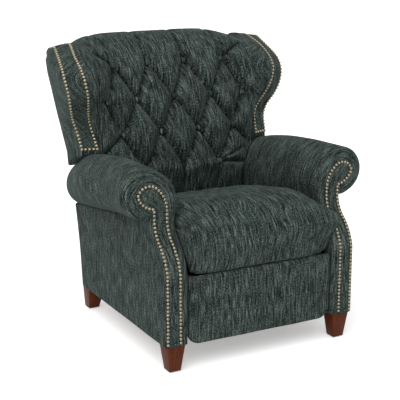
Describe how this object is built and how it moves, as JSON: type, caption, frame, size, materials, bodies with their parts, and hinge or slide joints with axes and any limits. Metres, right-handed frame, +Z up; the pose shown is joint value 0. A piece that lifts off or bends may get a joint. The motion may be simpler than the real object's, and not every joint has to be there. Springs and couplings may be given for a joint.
{
  "type": "push-back wing recliner",
  "caption": "Wing-back push-back recliner with a diamond-tufted reclining back, rolled arms with nail trim, a loose-look seat cushion, a hidden folding footrest and tapered wooden legs.",
  "frame": {"origin": "middle of the footprint, on the floor", "axes": "+Z up, the front faces -Y, +X to the sitter's left"},
  "size_m": [0.9688, 0.989, 1.097],
  "materials": {
    "upholstery": "woven chenille",
    "deck_cloth": "woven",
    "leg_wood": "satin stain",
    "frame_wood": "raw",
    "nail_brass": "antique",
    "steel": "satin",
    "glide": "matte"
  },
  "bodies": {
    "base": {"front_leg_left": "leg_wood", "front_leg_right": "leg_wood", "rear_leg_left": "leg_wood", "rear_leg_right": "leg_wood", "leg_glides": "glide", "leg_bolts": "steel", "arm_front_post_left": "frame_wood", "arm_front_post_right": "frame_wood", "arm_rear_post_left": "frame_wood", "arm_rear_post_right": "frame_wood", "arm_rails_left": "frame_wood", "arm_rails_right": "frame_wood", "mechanism_board_left": "frame_wood", "mechanism_board_right": "frame_wood", "inside_arm_pad_left": "upholstery", "inside_arm_pad_right": "upholstery", "outside_arm_panel_left": "upholstery", "outside_arm_panel_right": "upholstery", "arm_roll_left": "upholstery", "arm_roll_right": "upholstery", "arm_facing_left": "upholstery", "arm_facing_right": "upholstery", "arm_nails": "nail_brass", "base_front_rail": "frame_wood", "base_rear_rail": "frame_wood", "lower_rear_panel": "upholstery", "base_brackets": "steel", "swing_upper_pins": "steel"},
    "rear_swing": {"rear_swing_links": "steel"},
    "front_swing": {"front_swing_links": "steel"},
    "seat": {"swing_lower_pins": "steel", "seat_plates": "steel", "seat_rail_left": "frame_wood", "seat_rail_right": "frame_wood", "seat_front_rail": "frame_wood", "seat_rear_rail": "frame_wood", "seat_springs": "steel", "deck_pad": "deck_cloth", "seat_cushion": "upholstery", "back_hinge_pins": "steel"},
    "footrest_drive": {"torque_tube": "steel", "drive_links": "steel"},
    "footrest_extension": {"extension_links": "steel", "knee_pins": "steel"},
    "footrest": {"footrest_brackets": "steel", "footrest_pins": "steel", "footrest_pad": "upholstery", "footrest_board": "frame_wood"},
    "back": {"back_posts": "frame_wood", "back_cross_rails": "frame_wood", "back_brackets": "steel", "back_springs": "steel", "back_pad": "upholstery", "back_buttons": "upholstery", "wing_left": "upholstery", "wing_right": "upholstery", "wing_nails": "nail_brass", "outside_back": "upholstery"}
  },
  "joints": [
    {"name": "back_recline", "type": "hinge", "parent": "seat", "child": "back", "pos_m": [0, 0.1965, 0.3], "axis": [-1, 0, 0], "range_deg": [0, 30]},
    {"name": "rear_swing_pivot", "type": "hinge", "parent": "base", "child": "rear_swing", "pos_m": [0, 0.0965, 0.29], "axis": [-1, 0, 0], "range_deg": [0, 32.01]},
    {"name": "seat_pivot", "type": "hinge", "parent": "rear_swing", "child": "seat", "pos_m": [0, 0.11181, 0.18107], "axis": [-1, 0, 0], "range_deg": [-32.01, 0]},
    {"name": "front_swing_pivot", "type": "hinge", "parent": "base", "child": "front_swing", "pos_m": [0, -0.2135, 0.29], "axis": [-1, 0, 0], "range_deg": [0, 32.01]},
    {"name": "footrest_open", "type": "hinge", "parent": "seat", "child": "footrest_drive", "pos_m": [0, -0.3685, 0.296], "axis": [-1, 0, 0], "range_deg": [0, 112]},
    {"name": "footrest_knee", "type": "hinge", "parent": "footrest_drive", "child": "footrest_extension", "pos_m": [0, -0.33585, 0.11086], "axis": [-1, 0, 0], "range_deg": [-166.98, 0]},
    {"name": "footrest_tilt", "type": "hinge", "parent": "footrest_extension", "child": "footrest", "pos_m": [0, -0.4035, 0.27], "axis": [-1, 0, 0], "range_deg": [0, 144.98]}
  ],
  "couplings": [
    {"joint": "rear_swing_pivot", "follows": "back_recline", "ratio": 1.0667},
    {"joint": "seat_pivot", "follows": "back_recline", "ratio": -1.0667},
    {"joint": "front_swing_pivot", "follows": "back_recline", "ratio": 1.0667},
    {"joint": "footrest_knee", "follows": "footrest_open", "ratio": -1.4908},
    {"joint": "footrest_tilt", "follows": "footrest_open", "ratio": 1.2944}
  ]
}
